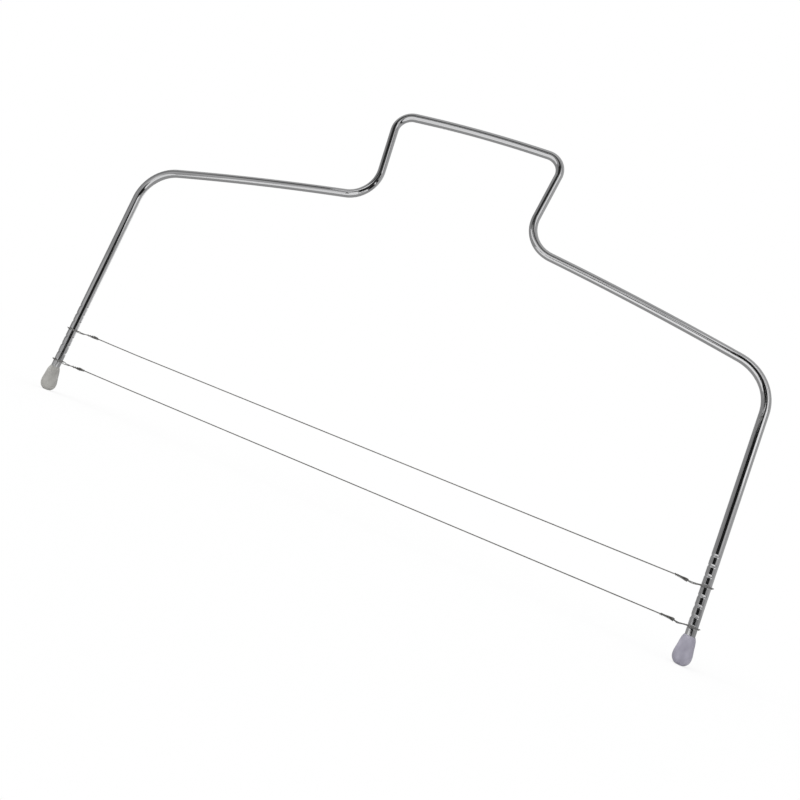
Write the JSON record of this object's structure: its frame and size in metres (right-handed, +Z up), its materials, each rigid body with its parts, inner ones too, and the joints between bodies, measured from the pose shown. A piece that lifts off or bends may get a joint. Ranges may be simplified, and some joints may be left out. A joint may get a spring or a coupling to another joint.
{
  "type": "cake leveler",
  "caption": "Bent round-rod bow with a raised waisted handle, grooved legs, drop-shaped feet and taut cutting wires that slide up the legs to set the layer height.",
  "frame": {"origin": "midway between the two soles, on the plane that they stand on", "axes": "+X to the right along the cutting wires, +Y through the thin side of the frame away from the viewer, +Z up from the soles to the handle"},
  "size_m": [0.3272, 0.0072, 0.1988],
  "materials": {
    "bright_rod": "bright polished",
    "foot_plastic": "soft satin, slightly translucent grey",
    "cutting_wire": "drawn steel wire"
  },
  "bodies": {
    "frame": {"frame_rod": "bright_rod", "left_foot": "foot_plastic", "right_foot": "foot_plastic"},
    "upper_wire": {"upper_cutting_wire": "cutting_wire", "upper_left_eye": "cutting_wire", "upper_left_winding": "cutting_wire", "upper_right_eye": "cutting_wire", "upper_right_winding": "cutting_wire"},
    "lower_wire": {"lower_cutting_wire": "cutting_wire", "lower_left_eye": "cutting_wire", "lower_left_winding": "cutting_wire", "lower_right_eye": "cutting_wire", "lower_right_winding": "cutting_wire"}
  },
  "joints": [
    {"name": "upper_wire_slide", "type": "slide", "parent": "frame", "child": "upper_wire", "axis": [0, 0, 1], "range_m": [0, 0.0129]},
    {"name": "lower_wire_slide", "type": "slide", "parent": "frame", "child": "lower_wire", "axis": [0, 0, 1], "range_m": [0, 0.0129]}
  ]
}
